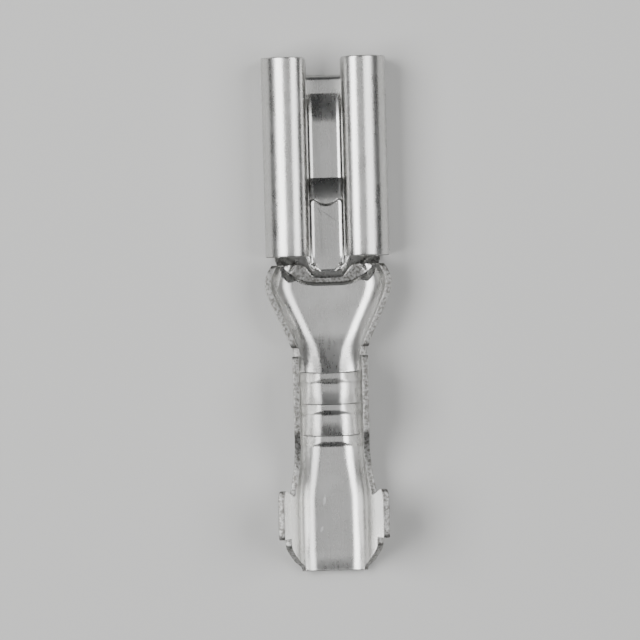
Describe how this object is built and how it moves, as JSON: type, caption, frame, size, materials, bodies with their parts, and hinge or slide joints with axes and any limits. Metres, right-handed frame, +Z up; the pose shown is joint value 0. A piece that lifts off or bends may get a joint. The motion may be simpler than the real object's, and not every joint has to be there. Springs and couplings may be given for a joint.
{
  "type": "female spade terminal",
  "caption": "Uninsulated female spade terminal folded from tin-plated brass strip, with rolled curls at the mouth, a tapered transition, a grooved wire barrel and flared insulation wings",
  "frame": {"origin": "below the middle of the whole length, on the plane that the terminal lies on", "axes": "+Y points out of the mouth, +Z points up out of the open side, +X is to the right when looking along +Y"},
  "size_m": [0.0038, 0.0158, 0.0023],
  "materials": {
    "tinned_brass": "bright tin plating, satin"
  },
  "bodies": {
    "root": {"terminal_body": "tinned_brass"}
  },
  "joints": []
}
